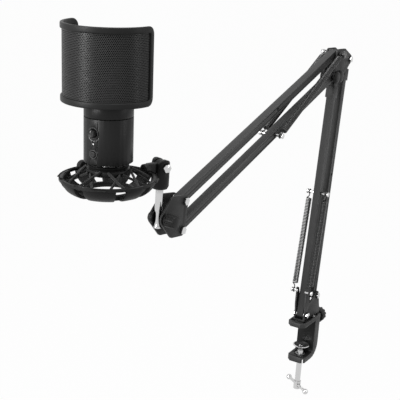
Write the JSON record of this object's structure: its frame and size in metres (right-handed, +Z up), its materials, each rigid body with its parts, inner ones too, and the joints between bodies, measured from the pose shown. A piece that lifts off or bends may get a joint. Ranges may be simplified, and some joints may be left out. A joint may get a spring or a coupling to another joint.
{
  "type": "condenser microphone",
  "caption": "Condenser microphone with curved mesh pop filter in an elastic shock mount, carried by a spring-balanced folding arm on a desk clamp.",
  "frame": {"origin": "on the desk face of the clamp's upper jaw, on the axis of the clamp screw", "axes": "+Z up; the arm reaches towards -X and its bars lie in the XZ plane; the microphone faces -X"},
  "size_m": [0.5745, 0.0961, 0.5566],
  "materials": {
    "clamp_paint": "satin black powder coat",
    "bracket_paint": "satin black powder coat",
    "bar_paint": "fine-textured black powder coat",
    "black_plastic": "moulded black plastic",
    "cage_plastic": "moulded black nylon",
    "chrome": "polished chrome plate",
    "zinc": "zinc-plated steel",
    "spring_wire": "blackened spring steel",
    "elastic": "woven elastic",
    "mic_paint": "satin black lacquer",
    "grille": "black woven wire mesh",
    "capsule_gold": "gold-sputtered diaphragm",
    "board": "green solder mask",
    "socket_steel": "nickel-plated shell",
    "light": "clear light pipe",
    "knob_finish": "soft-touch black",
    "filter_rubber": "matt black rubber",
    "filter_mesh": "black perforated sheet",
    "foam": "thin black lining"
  },
  "bodies": {
    "clamp": {"clamp_bracket": "clamp_paint", "pivot_bush": "zinc", "jaw_nut": "zinc"},
    "lock_knob": {"swivel_lock_knob": "black_plastic"},
    "cup": {"pressure_cup": "chrome"},
    "screw": {"clamp_screw": "chrome", "tommy_bar": "chrome"},
    "base": {"base_bracket": "bracket_paint", "base_pin": "zinc", "base_bolts": "chrome", "base_washers": "zinc", "lower_spring_pins": "chrome"},
    "lower_front": {"lower_front_bar": "bar_paint", "lower_spring_bolt": "chrome", "lower_spring_near": "spring_wire", "lower_spring_far": "spring_wire"},
    "lower_rear": {"lower_rear_bar": "bar_paint"},
    "elbow": {"elbow_plate_near": "bracket_paint", "elbow_plate_far": "bracket_paint", "elbow_bolts": "chrome", "elbow_washers": "zinc"},
    "upper_bottom": {"upper_bottom_bar": "bar_paint", "upper_spring_bolt": "chrome", "upper_spring_near": "spring_wire", "upper_spring_far": "spring_wire"},
    "upper_top": {"upper_top_bar": "bar_paint"},
    "wrist": {"wrist_plate_near": "bracket_paint", "wrist_plate_far": "bracket_paint", "wrist_bolts": "chrome", "wrist_washers": "zinc"},
    "tilt_joint": {"tilt_barrel": "black_plastic", "mic_post": "chrome"},
    "wrist_knob": {"tilt_knob": "black_plastic"},
    "swivel": {"swivel_housing": "black_plastic", "tilt_bolt": "chrome"},
    "microphone": {"shock_cage": "cage_plastic", "elastic_cords": "elastic", "mic_cradle": "cage_plastic", "cradle_stud": "zinc", "mic_body": "mic_paint", "bottom_cap": "black_plastic", "metal_band": "mic_paint", "head_grille": "grille", "grille_cap": "mic_paint", "capsule": "capsule_gold", "capsule_holder": "black_plastic", "circuit_board": "board", "usb_socket": "socket_steel", "status_light": "light"},
    "volume": {"volume_knob": "knob_finish"},
    "mute": {"mute_button": "knob_finish"},
    "filter": {"filter_frame": "filter_rubber", "filter_mesh": "filter_mesh", "filter_lining": "foam", "filter_straps": "elastic"}
  },
  "joints": [
    {"name": "swivel_lock_turn", "type": "hinge", "parent": "clamp", "child": "lock_knob", "pos_m": [0.024, 0, -0.006], "axis": [1, 0, 0], "range_deg": [0, 360]},
    {"name": "cup_travel", "type": "slide", "parent": "clamp", "child": "cup", "axis": [0, 0, 1], "range_m": [-0.006, 0.03]},
    {"name": "screw_turn", "type": "hinge", "parent": "cup", "child": "screw", "pos_m": [0, 0, -0.041], "axis": [0, 0, 1], "range_deg": [-1729, 8641]},
    {"name": "base_swivel", "type": "hinge", "parent": "clamp", "child": "base", "pos_m": [0.024, 0, 0.005], "axis": [0, 0, 1], "continuous": true},
    {"name": "lower_lift", "type": "hinge", "parent": "base", "child": "lower_front", "pos_m": [-0.0105, 0, 0.015], "axis": [0, 1, 0], "range_deg": [-35, 20], "deforming": ["lower_spring_near", "lower_spring_far"]},
    {"name": "lower_rear_hinge", "type": "hinge", "parent": "base", "child": "lower_rear", "pos_m": [0.021, 0, 0.0365], "axis": [0, 1, 0], "range_deg": [-36, 26]},
    {"name": "elbow_level", "type": "hinge", "parent": "lower_front", "child": "elbow", "pos_m": [0.01957, 0, 0.35869], "axis": [0, 1, 0], "range_deg": [-26, 36]},
    {"name": "upper_lift", "type": "hinge", "parent": "elbow", "child": "upper_bottom", "pos_m": [0.00717, 0, 0.35869], "axis": [0, 1, 0], "range_deg": [-30, 50], "deforming": ["upper_spring_near", "upper_spring_far"]},
    {"name": "upper_top_hinge", "type": "hinge", "parent": "elbow", "child": "upper_top", "pos_m": [0.01017, 0, 0.39019], "axis": [0, 1, 0], "range_deg": [-31, 51]},
    {"name": "wrist_level", "type": "hinge", "parent": "upper_bottom", "child": "wrist", "pos_m": [-0.36915, 0, 0.22911], "axis": [0, 1, 0], "range_deg": [-51, 31]},
    {"name": "wrist_tilt", "type": "hinge", "parent": "wrist", "child": "tilt_joint", "pos_m": [-0.40465, 0, 0.24861], "axis": [0, 1, 0], "range_deg": [-45, 40]},
    {"name": "wrist_knob_turn", "type": "hinge", "parent": "tilt_joint", "child": "wrist_knob", "pos_m": [-0.40465, 0, 0.24861], "axis": [0, 1, 0], "range_deg": [0, 180]},
    {"name": "post_swivel", "type": "hinge", "parent": "tilt_joint", "child": "swivel", "pos_m": [-0.40465, 0, 0.28861], "axis": [0, 0, 1], "range_deg": [-95, 130]},
    {"name": "mount_tilt", "type": "hinge", "parent": "swivel", "child": "microphone", "pos_m": [-0.40465, 0, 0.30361], "axis": [0.3256, 0.9455, 0], "range_deg": [-25, 45]},
    {"name": "volume_turn", "type": "hinge", "parent": "microphone", "child": "volume", "pos_m": [-0.49063, 0.02134, 0.34656], "axis": [-0.9995, -0.0002, -0.033], "range_deg": [-140, 140]},
    {"name": "mute_press", "type": "slide", "parent": "microphone", "child": "mute", "axis": [0.9995, 0.0002, 0.033], "range_m": [0, 0.001], "stiffness_N_per_m": 300, "springref_m": -0.001},
    {"name": "filter_turn", "type": "hinge", "parent": "microphone", "child": "filter", "pos_m": [-0.46859, 0.02202, 0.40631], "axis": [-0.033, 0.0114, 0.9994], "range_deg": [-40, 40]}
  ],
  "couplings": [
    {"joint": "screw_turn", "follows": "cup_travel", "rad_per_m": 5026.5},
    {"joint": "lower_rear_hinge", "follows": "lower_lift", "ratio": 1},
    {"joint": "elbow_level", "follows": "lower_lift", "ratio": -1},
    {"joint": "upper_top_hinge", "follows": "upper_lift", "ratio": 1},
    {"joint": "wrist_level", "follows": "upper_lift", "ratio": -1}
  ]
}
